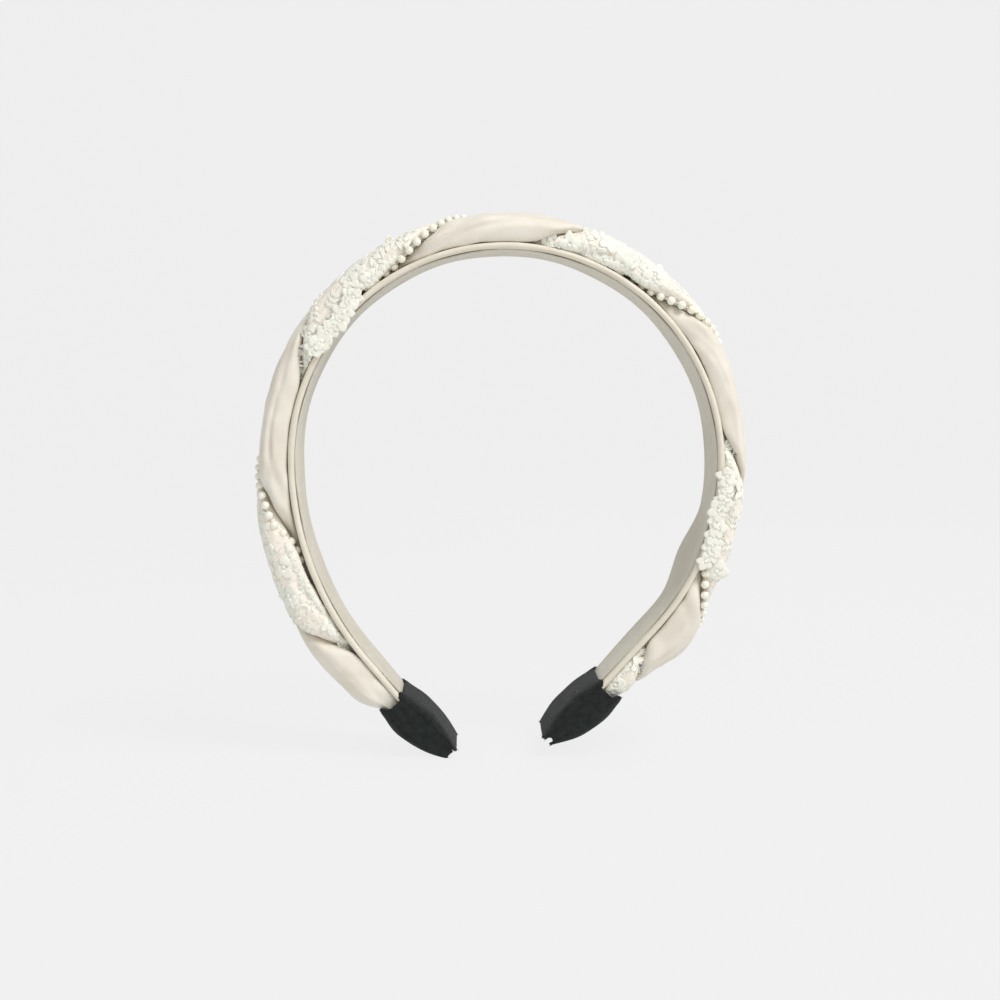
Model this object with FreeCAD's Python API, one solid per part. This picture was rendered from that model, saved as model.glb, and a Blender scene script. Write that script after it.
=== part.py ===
import FreeCAD, Part
import math
import os

# A plaited headband (Alice band), standing on its two tips as it would sit on a head.
# +Z is up through the crown, +X is to the right seen from the front, +Y is to the back.
# All lengths are in millimetres. A place on the band is given by three numbers:
#   s  the distance along the core's middle surface, from the top of the crown, positive to the right
#   y  across the band, negative to the front
#   h  out from the core's middle surface, positive away from the head

V = FreeCAD.Vector

# The band's line on each side: a quarter circle from the crown, a side arc and a straight leg.
# The band was bent a little unevenly, so the two sides differ.
LEFT_CROWN_RADIUS, LEFT_SIDE_RADIUS, LEFT_LEG = 64.0, 95.0, 37.0
RIGHT_CROWN_RADIUS, RIGHT_SIDE_RADIUS, RIGHT_LEG = 65.2, 74.0, 46.5
LEFT_SIDE_TURN = math.radians(40)
RIGHT_SIDE_TURN = math.radians(42)
CROWN_RISE = 64.0        # from the crown's centre to the core at the top
CENTRE_SHIFT = 1.2       # the crown's centre is this far right of the middle of the whole

# The band's layers.
CORE_THICKNESS = 0.9
RIBBON_THICKNESS = 0.25
LINING_THICKNESS = 0.2
CROWN_HALF_WIDTH = 13.0
TIP_HALF_WIDTH = 11.0
TAPER_DROP = 66.0        # below the crown's centre, where the legs reach their tip width
HEM_WIDTH = 4.0
LINING_SETBACK = 1.0     # from the covered edge to the lining's edge
CORE_TIP_RADIUS = 5.0
RIBBON_STOPS_SHORT = 3.0  # the ribbons end this far from the core's tips

# The sleeves over the two ends.
SLEEVE_LENGTH = 22.3
SLEEVE_THICKNESS = 0.6
SLEEVE_PAST_TIP = 0.5
SLEEVE_MOUTH_RISE = 6.8   # inside height above the core's middle at the mouth
SLEEVE_TIP_RISE = 1.1
SLEEVE_BULGE = 2.0        # how far the sleeve's outer line bows out of straight
SLEEVE_SIDE_GAP = 0.5
SLEEVE_UNDER_GAP = 0.55    # between the lining and the sleeve, where the binding passes

# The plait. Each number is where the pearl string lies on the front edge of the plait.
PEARL_FRONT_MARKS = (-211.0, -121.7, -30.4, 49.0, 134.5, 191.8, 246.0)
TWIST_LAG = 0.302        # of a period, from the pearls' place on the front edge to the satin's
TWIST_UNEVENNESS = 0.35  # how much faster than on average the strands roll over each other
SATIN_LATE_TURN = 0.7    # near the left sleeve the satin stays in front for longer
SATIN_LATE_AT, SATIN_LATE_REACH = -163.0, 30.0
PLAIT_HALF_WIDTH = 13.6
PLAIT_HALF_HEIGHT = 4.8
PLAIT_SQUARENESS = 2.9   # of the plait's outline: 2 is an ellipse
STRAND_SWING = 5.6       # sideways, from the band's middle to the strand's middle
STRAND_RISE = 2.2        # up and down from the plait's middle
STRAND_GAP = 0.4
STRAND_INTO_SLEEVE = 9.0
SLEEVE_SQUEEZE = 0.5     # the plait is pressed down to this share of its height in the sleeves
FULLNESS = (             # the plait's height as a share of its height at the crown: s and share
    (-186.0, SLEEVE_SQUEEZE), (-173.0, 1.15), (-155.0, 1.3), (-120.0, 1.25), (-95.0, 1.0), (60.0, 1.0),
    (95.0, 0.8), (138.0, 0.82), (156.0, 1.25), (172.0, 0.85), (186.0, SLEEVE_SQUEEZE),
)
SATIN_THICKNESS = 0.4
BACKING_THICKNESS = 0.35
LACE_THICKNESS = 0.5
LAYER_GAP = 0.05

# The pearl string.
PEARL_RADIUS = 1.3
PEARL_PITCH = 3.5
PEARL_BORE = 0.32
THREAD_RADIUS = 0.18
PEARL_PATH = (           # the string's middle: shares of a period, of the plait's half width and half height
    (-0.06, -0.68, -0.7), (0.0, -0.92, -0.48), (0.05, -0.96, -0.05), (0.1, -0.93, 0.42), (0.17, -0.6, 0.84),
    (0.25, 0.0, 0.98), (0.31, 0.3, 0.2), (0.37, 0.6, -0.6), (0.44, 0.68, -0.7), (0.5, 0.92, -0.48),
    (0.55, 0.96, -0.05),
)

# The bindings round the strand ends.
BINDING_FROM_MOUTH = 3.5
BINDING_LENGTH = 4.0
BINDING_THICKNESS = 0.4

# How finely the strands' skins are drawn.
STATION_STEP = 4.0
POINTS_ROUND = 16
SPANS_PER_FACE = 12
THREAD_POINTS_ROUND = 8
CORNER_POWER = 8         # how sharply one strand's side turns where it meets the next
GROOVE_SHARPNESS = 2.2   # how narrow the groove is that the pearls lie in
OUTLINE_STEPS = 25
STRAND_ROOM = 1.8        # the least room wanted on each side of a strand's middle
SETTLE_MOVES = 12
SETTLE_STEP = 0.15

LEFT_QUARTER = LEFT_CROWN_RADIUS * math.pi / 2
RIGHT_QUARTER = RIGHT_CROWN_RADIUS * math.pi / 2
LEFT_BEND = LEFT_QUARTER + LEFT_SIDE_RADIUS * LEFT_SIDE_TURN
RIGHT_BEND = RIGHT_QUARTER + RIGHT_SIDE_RADIUS * RIGHT_SIDE_TURN
LEFT_END = -(LEFT_BEND + LEFT_LEG)
RIGHT_END = RIGHT_BEND + RIGHT_LEG
LEFT_MOUTH = LEFT_END + SLEEVE_LENGTH
RIGHT_MOUTH = RIGHT_END - SLEEVE_LENGTH
FACE = CORE_THICKNESS / 2 + RIBBON_THICKNESS
INNER_FACE = -(FACE + LINING_THICKNESS)


def rail(s):
    """The point at s on the core's middle surface, from the crown's centre, and its outward normal."""
    if s < 0:
        side, crown, radius, side_turn = -1, LEFT_CROWN_RADIUS, LEFT_SIDE_RADIUS, LEFT_SIDE_TURN
    else:
        side, crown, radius, side_turn = 1, RIGHT_CROWN_RADIUS, RIGHT_SIDE_RADIUS, RIGHT_SIDE_TURN
    run, centre = abs(s), CROWN_RISE - crown
    if run <= crown * math.pi / 2:
        nx, nz = math.sin(run / crown), math.cos(run / crown)
        x, z = crown * nx, centre + crown * nz
    else:
        past = run - crown * math.pi / 2
        turn = min(past / radius, side_turn)
        straight = past - radius * turn
        nx, nz = math.cos(turn), -math.sin(turn)
        x = crown - radius + radius * nx + straight * nz
        z = centre + radius * nz - straight * nx
    return x * side, z, nx * side, nz


def sleeve_rise(share):
    """Inside height of a sleeve above the core's middle, from its mouth (0) to its tip (1)."""
    straight = SLEEVE_MOUTH_RISE + (SLEEVE_TIP_RISE - SLEEVE_MOUTH_RISE) * share
    return straight + 4 * SLEEVE_BULGE * share * (1 - share)


def lowest_corner():
    """Height of the left sleeve's outer corner, the lowest point, about the crown's centre."""
    _, z, _, nz = rail(LEFT_END - SLEEVE_PAST_TIP)
    return z + (SLEEVE_TIP_RISE + SLEEVE_THICKNESS) * nz


CENTRE_HEIGHT = -lowest_corner()


def place(s, y, h):
    x, z, nx, nz = rail(s)
    return V(x + h * nx + CENTRE_SHIFT, y, z + h * nz + CENTRE_HEIGHT)


def smooth_step(value, start, end):
    share = min(max((value - start) / (end - start), 0.0), 1.0)
    return share * share * (3 - 2 * share)


def half_width(s):
    """Half the covered band's width at s."""
    share = min(max(-rail(s)[1] / TAPER_DROP, 0.0), 1.0)
    return CROWN_HALF_WIDTH + (TIP_HALF_WIDTH - CROWN_HALF_WIDTH) * share


# ---- flat layers of the band ----

def rail_edges(h, start, end):
    """Edges along the band at height h, from start to end, in the plane y = 0."""
    bends = (-LEFT_BEND, -LEFT_QUARTER, 0.0, RIGHT_QUARTER, RIGHT_BEND)
    stops = [start] + [bend for bend in bends if start < bend < end] + [end]
    edges = []
    for first, last in zip(stops, stops[1:]):
        ends = place(first, 0, h), place(last, 0, h)
        if last <= -LEFT_BEND or first >= RIGHT_BEND:
            edges.append(Part.LineSegment(*ends).toShape())
        else:
            middle = place((first + last) / 2, 0, h)
            edges.append(Part.Arc(ends[0], middle, ends[1]).toShape())
    return edges


def strip(low, high, start, end, reach):
    """A layer of the band between two heights, reaching to y = -reach and +reach."""
    edges = rail_edges(low, start, end) + rail_edges(high, start, end)
    edges += [Part.LineSegment(place(s, 0, low), place(s, 0, high)).toShape() for s in (start, end)]
    face = Part.Face(Part.Wire(Part.__sortEdges__(edges)))
    face.translate(V(0, -reach, 0))
    return face.extrude(V(0, 2 * reach, 0))


def front_outline(inset):
    """A block over the whole band whose sides are the covered edges, moved in by inset."""
    wide, narrow = CROWN_HALF_WIDTH - inset, TIP_HALF_WIDTH - inset
    top = CENTRE_HEIGHT + 2 * CROWN_RISE
    knee, bottom = CENTRE_HEIGHT - TAPER_DROP, -CROWN_RISE
    side = [(wide, top), (wide, CENTRE_HEIGHT), (narrow, knee), (narrow, bottom)]
    outline = side + [(-y, z) for y, z in reversed(side)]
    corners = [V(-2 * CROWN_RISE, y, z) for y, z in outline]
    face = Part.Face(Part.makePolygon(corners + corners[:1]))
    return face.extrude(V(4 * CROWN_RISE, 0, 0))


def layer(low, high, trim, inset):
    """A strip between two heights that stops trim short of the tips and inset inside the covered edge."""
    whole = strip(low, high, LEFT_END + trim, RIGHT_END - trim, CROWN_HALF_WIDTH + 1)
    return whole.common(front_outline(inset))


def core_band():
    """The plastic spring strip, with rounded tips."""
    half = CORE_THICKNESS / 2
    core = layer(-half, half, 0, RIBBON_THICKNESS)
    tips = [place(s, 0, 0) for s in (LEFT_END, RIGHT_END)]
    corners = []
    for edge in core.Edges:
        middle = edge.CenterOfMass
        off_tip = min(math.hypot(middle.x - tip.x, middle.z - tip.z) for tip in tips)
        if abs(edge.Length - CORE_THICKNESS) < 0.01 and off_tip < 0.1:
            corners.append(edge)
    return core.makeFillet(CORE_TIP_RADIUS, corners)


def band_cover():
    """Ribbon over the outer face and both edges, with its hems turned onto the inner face."""
    half = CORE_THICKNESS / 2
    wrap = layer(-half - RIBBON_THICKNESS, FACE, RIBBON_STOPS_SHORT, 0)
    inside = layer(-half, half, -1, RIBBON_THICKNESS)
    between_hems = layer(-half - 1, 0, -1, RIBBON_THICKNESS + HEM_WIDTH)
    return wrap.cut(inside).cut(between_hems)


def inner_lining():
    """Ribbon glued over the hems, against the hair."""
    return layer(INNER_FACE, -FACE, RIBBON_STOPS_SHORT, LINING_SETBACK)


# ---- the plait ----

def period(s):
    """How many plait periods the pearl string has run at s, smoothed between the marks."""
    marks = PEARL_FRONT_MARKS
    k = max(i for i in range(1, len(marks) - 2) if marks[i] <= s or i == 1)
    if s < marks[1]:
        return (s - marks[0]) / (marks[1] - marks[0])
    span = marks[k + 1] - marks[k]
    t = (s - marks[k]) / span
    slope_in = 2 * span / (marks[k + 1] - marks[k - 1])
    slope_out = 2 * span / (marks[k + 2] - marks[k])
    bend = slope_in * (t ** 3 - 2 * t ** 2 + t) + slope_out * (t ** 3 - t ** 2)
    return k + bend + 3 * t ** 2 - 2 * t ** 3


def fullness(s):
    """Height of the plait at s as a share of its height at the crown."""
    for (first, low), (last, high) in zip(FULLNESS, FULLNESS[1:]):
        if s <= last:
            break
    return low + (high - low) * smooth_step(s, first, last)


def narrowing(s):
    """Width of the plait at s as a share of its width at the crown."""
    return half_width(s) / CROWN_HALF_WIDTH - 0.15 * smooth_step(-fullness(s), -1, -SLEEVE_SQUEEZE)


def plait_half_sizes(s):
    return PLAIT_HALF_WIDTH * narrowing(s), PLAIT_HALF_HEIGHT * fullness(s)


def plait_middle(s):
    """Height of the middle of the plait's section at s."""
    return FACE + STRAND_GAP + plait_half_sizes(s)[1]


def twist(s):
    """How far the satin strand has turned round the plait's middle: 0 at the front, a quarter on top."""
    run = period(s)
    late = SATIN_LATE_TURN * (1 - smooth_step(abs(s - SATIN_LATE_AT), 0, SATIN_LATE_REACH))
    return 2 * math.pi * (run - TWIST_LAG) - TWIST_UNEVENNESS * math.cos(4 * math.pi * run) - late


def pearl_middle(s):
    """The middle of the pearl string at s. Each half period mirrors the one before, front to back."""
    run = period(s)
    halves = math.floor(2 * run)
    at = run - halves / 2
    knots = PEARL_PATH
    k = max(i for i in range(1, len(knots) - 2) if knots[i][0] <= at)
    span = knots[k + 1][0] - knots[k][0]
    t = (at - knots[k][0]) / span
    shares = []
    for j in (1, 2):
        slope_in = span * (knots[k + 1][j] - knots[k - 1][j]) / (knots[k + 1][0] - knots[k - 1][0])
        slope_out = span * (knots[k + 2][j] - knots[k][j]) / (knots[k + 2][0] - knots[k][0])
        bend = slope_in * (t ** 3 - 2 * t ** 2 + t) + slope_out * (t ** 3 - t ** 2)
        shares.append(knots[k][j] + bend + (knots[k + 1][j] - knots[k][j]) * (3 * t ** 2 - 2 * t ** 3))
    half_y, half_h = plait_half_sizes(s)
    y, h = shares[0] * half_y * (-1) ** halves, plait_middle(s) + shares[1] * half_h
    return y, max(h, FACE + PEARL_RADIUS + STRAND_GAP)


def string_radius(s):
    """Half the room the pearl string takes at s: its beads stop at the sleeves, its thread goes on."""
    mouth = RIGHT_MOUTH if s > 0 else -LEFT_MOUTH
    return PEARL_RADIUS + (THREAD_RADIUS - PEARL_RADIUS) * smooth_step(abs(s), mouth, mouth + PEARL_RADIUS)


def roof(s):
    """How high the strands may reach at s: under the bindings in the sleeves, and higher away from them."""
    past_mouth = LEFT_MOUTH - s if s < 0 else s - RIGHT_MOUTH
    inside = sleeve_rise(max(past_mouth, 0) / SLEEVE_LENGTH)
    return inside - BINDING_THICKNESS - STRAND_GAP + max(-past_mouth, 0)


def settle(y, h, walls):
    """Shift a strand's middle off the walls that are too close to it."""
    for _ in range(SETTLE_MOVES):
        wall_y, wall_h, room = min(walls, key=lambda one: one[2])
        if room >= STRAND_ROOM:
            break
        move_y, move_h = -SETTLE_STEP * wall_y, -SETTLE_STEP * wall_h
        y, h = y + move_y, h + move_h
        walls = [(wy, wh, space - move_y * wy - move_h * wh) for wy, wh, space in walls]
    return y, h, walls


def outline_reach(y, h, out_y, out_h, half_y, half_h):
    """How far it is from (y, h), measured from the plait's middle, to the plait's outline in a direction."""
    near, far = 0.0, 3 * half_y
    for _ in range(OUTLINE_STEPS):
        half = (near + far) / 2
        inside = (abs(y + half * out_y) / half_y) ** PLAIT_SQUARENESS
        inside += (abs(h + half * out_h) / half_h) ** PLAIT_SQUARENESS
        if inside < 1:
            near = half
        else:
            far = half
    return near


def strand_section(turned, s, inset):
    """Points round a cloth strand at s, inset under its skin.

    The two cloth strands share the plait's section. The flat side between them turns with the twist."""
    turn = twist(s) + turned
    half_y, half_h = plait_half_sizes(s)
    middle = plait_middle(s)
    y = -STRAND_SWING * narrowing(s) * math.cos(turn)
    h = middle + STRAND_RISE * fullness(s) * math.sin(turn)
    across = math.hypot(half_h * math.cos(turn), half_y * math.sin(turn))
    wall_y, wall_h = half_h * math.cos(turn) / across, -half_y * math.sin(turn) / across
    pearl_y, pearl_h = pearl_middle(s)
    off = math.hypot(pearl_y - y, pearl_h - h)
    string = string_radius(s) + STRAND_GAP
    y, h, walls = settle(y, h, [
        (wall_y, wall_h, -y * wall_y + (middle - h) * wall_h - STRAND_GAP / 2),
        ((pearl_y - y) / off, (pearl_h - h) / off, off - string),
        (0, -1, h - FACE - STRAND_GAP),
        (0, 1, roof(s) - h),
        (-1, 0, y + half_y),
        (1, 0, half_y - y),
    ])
    off = math.hypot(pearl_y - y, pearl_h - h)
    points = []
    for k in range(POINTS_ROUND):
        angle = 2 * math.pi * k / POINTS_ROUND
        out_y, out_h = half_y * math.cos(angle), half_h * math.sin(angle)
        length = math.hypot(out_y, out_h)
        out_y, out_h = out_y / length, out_h / length
        limits = [outline_reach(y, h - middle, out_y, out_h, half_y, half_h)]
        facing = (out_y * (pearl_y - y) + out_h * (pearl_h - h)) / off
        aside = GROOVE_SHARPNESS * math.acos(min(max(facing, -1), 1))
        if aside < math.pi / 2:
            limits.append(max(off - string, STRAND_ROOM / 2) / math.cos(aside))
        for wall_y, wall_h, room in walls[:1] + walls[2:4]:
            facing = out_y * wall_y + out_h * wall_h
            if facing > 0.01:
                limits.append(max(room, STRAND_ROOM / 2) / facing)
        reach = sum(limit ** -CORNER_POWER for limit in limits) ** (-1 / CORNER_POWER) - inset
        points.append(place(s, y + reach * out_y, h + reach * out_h))
    return points


def stations(start, end):
    """Places s between two ends, on one grid for every skin, so that nested skins keep their distance."""
    first, last = math.ceil(start / STATION_STEP), math.floor(end / STATION_STEP)
    return [k * STATION_STEP for k in range(first, last + 1)]


def skin(rows):
    """A smooth tube surface whose control points are the rows of points."""
    around, along = len(rows[0]), len(rows)
    surface = Part.BSplineSurface()
    surface.buildFromPolesMultsKnots(
        [[row[k] for row in rows] for k in range(around)],
        [1] * (around + 1), [4] + [1] * (along - 4) + [4],
        list(range(around + 1)), list(range(along - 2)),
        True, False, 3, 3,
    )
    return surface


def tube_faces(surface):
    """The tube's surface as short lengths: their volume is reckoned more exactly than a long one's."""
    around, spans = surface.NbUKnots - 1, surface.NbVKnots - 1
    faces = []
    for first in range(0, spans, SPANS_PER_FACE):
        length = surface.copy()
        length.segment(0, around, first, min(first + SPANS_PER_FACE, spans))
        faces.append(length.toShape())
    return faces


def closed_tube(rows):
    """A solid tube with flat ends."""
    surface = skin(rows)
    rims = [surface.vIso(v).toShape() for v in (0, surface.NbVKnots - 1)]
    return whole_solid(tube_faces(surface) + [Part.Face(Part.Wire(rim)) for rim in rims])


def whole_solid(faces):
    shell = Part.makeShell(faces)
    shell.sewShape()
    solid = Part.makeSolid(shell)
    if solid.Volume < 0:
        solid.reverse()
    return solid


SATIN_TURNED, LACE_TURNED = 0, math.pi    # the two strands are half a turn apart
PLAIT_START = LEFT_MOUTH - STRAND_INTO_SLEEVE
PLAIT_END = RIGHT_MOUTH + STRAND_INTO_SLEEVE


def strand(turned, inset, start, end):
    """A cloth strand's solid, inset under its skin."""
    return closed_tube([strand_section(turned, s, inset) for s in stations(start, end)])


def cloth(turned, inset, thickness):
    """A layer of a strand: a tube of cloth, open at both ends."""
    outside = strand(turned, inset, PLAIT_START, PLAIT_END)
    past = STATION_STEP
    return outside.cut(strand(turned, inset + thickness, PLAIT_START - past, PLAIT_END + past))


def filling(turned, inset):
    """The wadding in a strand, from one sleeve's mouth to the other's."""
    return strand(turned, inset + LAYER_GAP, LEFT_MOUTH, RIGHT_MOUTH)


def satin_strand_cover():
    return cloth(SATIN_TURNED, 0, SATIN_THICKNESS)


def satin_strand_filling():
    return filling(SATIN_TURNED, SATIN_THICKNESS)


def lace_strand_lace():
    return cloth(LACE_TURNED, 0, LACE_THICKNESS)


def lace_strand_backing():
    return cloth(LACE_TURNED, LACE_THICKNESS + LAYER_GAP, BACKING_THICKNESS)


def lace_strand_filling():
    return filling(LACE_TURNED, LACE_THICKNESS + LAYER_GAP + BACKING_THICKNESS)


# ---- the pearl string ----

def string_point(s):
    y, h = pearl_middle(s)
    return place(s, y, h)


def string_direction(s):
    ahead = string_point(s + 0.1) - string_point(s - 0.1)
    return ahead.normalize()


def pearl_places():
    """Places s of the beads, one pitch apart along the string, from mouth to mouth."""
    places, gone = [], 0.0
    step = 0.05
    s = LEFT_MOUTH + PEARL_RADIUS
    last = string_point(s)
    while s < RIGHT_MOUTH - PEARL_RADIUS:
        if gone >= PEARL_PITCH * len(places):
            places.append(s)
        s += step
        point = string_point(s)
        gone += (point - last).Length
        last = point
    return places


def pearl_beads():
    """The beads, each drilled through along the string."""
    beads = []
    for s in pearl_places():
        middle, ahead = string_point(s), string_direction(s)
        start = middle - ahead * 2 * PEARL_RADIUS
        hole = Part.makeCylinder(PEARL_BORE, 4 * PEARL_RADIUS, start, ahead)
        beads.append(Part.makeSphere(PEARL_RADIUS, middle, ahead).cut(hole))
    return Part.makeCompound(beads)


def pearl_thread():
    """The thread, as a tube along the whole string."""
    rows = []
    for s in stations(PLAIT_START, PLAIT_END):
        middle, ahead = string_point(s), string_direction(s)
        across = ahead.cross(V(0, 1, 0)).normalize()
        up = across.cross(ahead)
        angles = [2 * math.pi * k / THREAD_POINTS_ROUND for k in range(THREAD_POINTS_ROUND)]
        rows.append([middle + (across * math.cos(a) + up * math.sin(a)) * THREAD_RADIUS for a in angles])
    return closed_tube(rows)


# ---- the ends ----

def leg_place(side, run, h):
    """A point in the plane y = 0, run past the sleeve's mouth towards the tip."""
    return place(LEFT_MOUTH - run if side < 0 else RIGHT_MOUTH + run, 0, h)


def block(corners, reach):
    """A closed outline in the plane y = 0 thickened to y = -reach and +reach."""
    face = Part.Face(Part.Wire(corners))
    face.translate(V(0, -reach, 0))
    return face.extrude(V(0, 2 * reach, 0))


def sleeve_block(side, grow, start, end, reach):
    """The space in a sleeve, from start to end past its mouth, grown on the inner and outer side."""
    low = INNER_FACE - SLEEVE_UNDER_GAP - grow
    rise = [sleeve_rise(run / SLEEVE_LENGTH) + grow for run in (start, (start + end) / 2, end)]
    inner = [leg_place(side, run, low) for run in (start, end)]
    outer = [leg_place(side, run, h) for run, h in zip((start, (start + end) / 2, end), rise)]
    edges = [
        Part.LineSegment(inner[0], outer[0]).toShape(),
        Part.Arc(*outer).toShape(),
        Part.LineSegment(outer[2], inner[1]).toShape(),
        Part.LineSegment(inner[1], inner[0]).toShape(),
    ]
    return block(edges, reach)


def end_sleeve(side):
    """A folded fabric sleeve, open at its mouth and at its raw tip."""
    reach = TIP_HALF_WIDTH + SLEEVE_SIDE_GAP
    length = SLEEVE_LENGTH + SLEEVE_PAST_TIP
    outside = sleeve_block(side, SLEEVE_THICKNESS, 0, length, reach + SLEEVE_THICKNESS)
    return outside.cut(sleeve_block(side, 0, -1, length + 1, reach))


def end_binding(side):
    """Thread wound round the band and the strand ends, inside the sleeve."""
    start, end = BINDING_FROM_MOUTH, BINDING_FROM_MOUTH + BINDING_LENGTH
    reach = TIP_HALF_WIDTH + SLEEVE_SIDE_GAP - 0.05
    outside = sleeve_block(side, -0.05, start, end, reach)
    inside = sleeve_block(side, -0.05 - BINDING_THICKNESS, start - 1, end + 1, reach - BINDING_THICKNESS)
    return outside.cut(inside)


NODES = {
    "core_band": core_band,
    "band_cover": band_cover,
    "inner_lining": inner_lining,
    "satin_strand_cover": satin_strand_cover,
    "satin_strand_filling": satin_strand_filling,
    "lace_strand_lace": lace_strand_lace,
    "lace_strand_backing": lace_strand_backing,
    "lace_strand_filling": lace_strand_filling,
    "pearl_beads": pearl_beads,
    "pearl_thread": pearl_thread,
    "left_end_sleeve": lambda: end_sleeve(-1),
    "right_end_sleeve": lambda: end_sleeve(1),
    "left_end_binding": lambda: end_binding(-1),
    "right_end_binding": lambda: end_binding(1),
}

os.makedirs("parts", exist_ok=True)
for name, make in NODES.items():
    shape = make()
    shape.exportStep(f"parts/{name}.step")
    box = shape.BoundBox
    print(f"{name}: {len(shape.Solids)} solids, {shape.Volume:.0f} mm3, valid {shape.isValid()}")
    print(f"  x {box.XMin:.1f}..{box.XMax:.1f}  y {box.YMin:.1f}..{box.YMax:.1f}")
    print(f"  z {box.ZMin:.1f}..{box.ZMax:.1f}")
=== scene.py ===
import math
import bpy
import numpy as np
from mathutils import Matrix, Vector
from mathutils.bvhtree import BVHTree


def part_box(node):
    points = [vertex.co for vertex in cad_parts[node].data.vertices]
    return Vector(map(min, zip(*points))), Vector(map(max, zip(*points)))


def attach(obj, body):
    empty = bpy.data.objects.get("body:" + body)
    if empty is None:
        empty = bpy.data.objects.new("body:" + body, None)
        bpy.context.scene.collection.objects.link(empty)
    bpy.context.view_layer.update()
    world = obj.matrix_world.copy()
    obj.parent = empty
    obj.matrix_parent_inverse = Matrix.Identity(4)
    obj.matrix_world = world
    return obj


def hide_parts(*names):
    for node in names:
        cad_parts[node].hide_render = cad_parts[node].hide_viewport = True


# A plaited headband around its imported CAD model. Lengths here are in millimetres unless a name says
# otherwise, and mesh_object() turns them into metres. A place on the band is given as in the CAD source:
#   s  the distance along the core's middle surface, from the top of the crown, positive to the right
#   y  across the band, negative to the front
#   h  out from the core's middle surface, positive away from the head

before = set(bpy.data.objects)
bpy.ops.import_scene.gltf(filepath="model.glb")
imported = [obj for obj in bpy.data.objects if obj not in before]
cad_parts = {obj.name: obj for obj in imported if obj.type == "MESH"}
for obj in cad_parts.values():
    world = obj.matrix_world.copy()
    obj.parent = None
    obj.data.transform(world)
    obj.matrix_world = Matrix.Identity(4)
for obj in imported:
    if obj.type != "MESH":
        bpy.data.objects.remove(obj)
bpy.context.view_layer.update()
MM = 0.001

# ---- driving sizes, as in the CAD source ----
LEFT_CROWN_RADIUS, LEFT_SIDE_RADIUS, LEFT_LEG = 64.0, 95.0, 37.0
RIGHT_CROWN_RADIUS, RIGHT_SIDE_RADIUS, RIGHT_LEG = 65.2, 74.0, 46.5
LEFT_SIDE_TURN, RIGHT_SIDE_TURN = math.radians(40), math.radians(42)
CROWN_RISE = 64.0
CORE_THICKNESS = 0.9
FACE = 0.7
INNER_FACE = -0.9
CROWN_HALF_WIDTH, TIP_HALF_WIDTH, TAPER_DROP = 13.0, 11.0, 66.0
SLEEVE_LENGTH = 22.3
SLEEVE_MOUTH_RISE, SLEEVE_TIP_RISE, SLEEVE_BULGE = 6.8, 1.1, 2.0
PEARL_FRONT_MARKS = (-211.0, -121.7, -30.4, 49.0, 134.5, 191.8, 246.0)
TWIST_LAG, TWIST_UNEVENNESS = 0.302, 0.35
SATIN_LATE_TURN, SATIN_LATE_AT, SATIN_LATE_REACH = 0.7, -163.0, 30.0
PLAIT_HALF_WIDTH, PLAIT_HALF_HEIGHT, PLAIT_SQUARENESS = 13.6, 4.8, 2.9
STRAND_SWING, STRAND_RISE = 5.6, 2.2
SLEEVE_SQUEEZE = 0.5
FULLNESS = (
    (-186.0, SLEEVE_SQUEEZE), (-173.0, 1.15), (-155.0, 1.3), (-120.0, 1.25), (-95.0, 1.0), (60.0, 1.0),
    (95.0, 0.8), (138.0, 0.82), (156.0, 1.25), (172.0, 0.85), (186.0, SLEEVE_SQUEEZE),
)
PEARL_RADIUS, PEARL_PITCH, PEARL_BORE = 1.3, 3.5, 0.32
THREAD_RADIUS = 0.18
PEARL_PATH = (
    (-0.06, -0.68, -0.7), (0.0, -0.92, -0.48), (0.05, -0.96, -0.05), (0.1, -0.93, 0.42), (0.17, -0.6, 0.84),
    (0.25, 0.0, 0.98), (0.31, 0.3, 0.2), (0.37, 0.6, -0.6), (0.44, 0.68, -0.7), (0.5, 0.92, -0.48),
    (0.55, 0.96, -0.05),
)

# ---- the same strands, drawn finer than in CAD ----
STRAND_GAP = 0.1
GROOVE_SHARPNESS = 3.5
STRAND_INTO_SLEEVE = 9.0
STRAND_ROOM, SETTLE_MOVES, SETTLE_STEP = 1.8, 12, 0.15
CORNER_POWER = 9
DROOP, DROOP_SPREAD = 2.5, 0.5    # how far the plait's lower edges hang down and out beside the band
DROOP_REACH = 0.72, 0.95          # shares of the plait's half width over which the droop comes in
ROW_STEP = 1.0
AROUND = 72

LEFT_QUARTER = LEFT_CROWN_RADIUS * math.pi / 2
RIGHT_QUARTER = RIGHT_CROWN_RADIUS * math.pi / 2
LEFT_BEND = LEFT_QUARTER + LEFT_SIDE_RADIUS * LEFT_SIDE_TURN
RIGHT_BEND = RIGHT_QUARTER + RIGHT_SIDE_RADIUS * RIGHT_SIDE_TURN
LEFT_END, RIGHT_END = -(LEFT_BEND + LEFT_LEG), RIGHT_BEND + RIGHT_LEG
LEFT_MOUTH, RIGHT_MOUTH = LEFT_END + SLEEVE_LENGTH, RIGHT_END - SLEEVE_LENGTH
_, CORE_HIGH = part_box("core_band")
CENTRE_HEIGHT = CORE_HIGH[2] / MM - CROWN_RISE - CORE_THICKNESS / 2
CENTRE_SHIFT = CORE_HIGH[0] / MM - RIGHT_CROWN_RADIUS - CORE_THICKNESS / 2


# ---- places on the band ----

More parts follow.
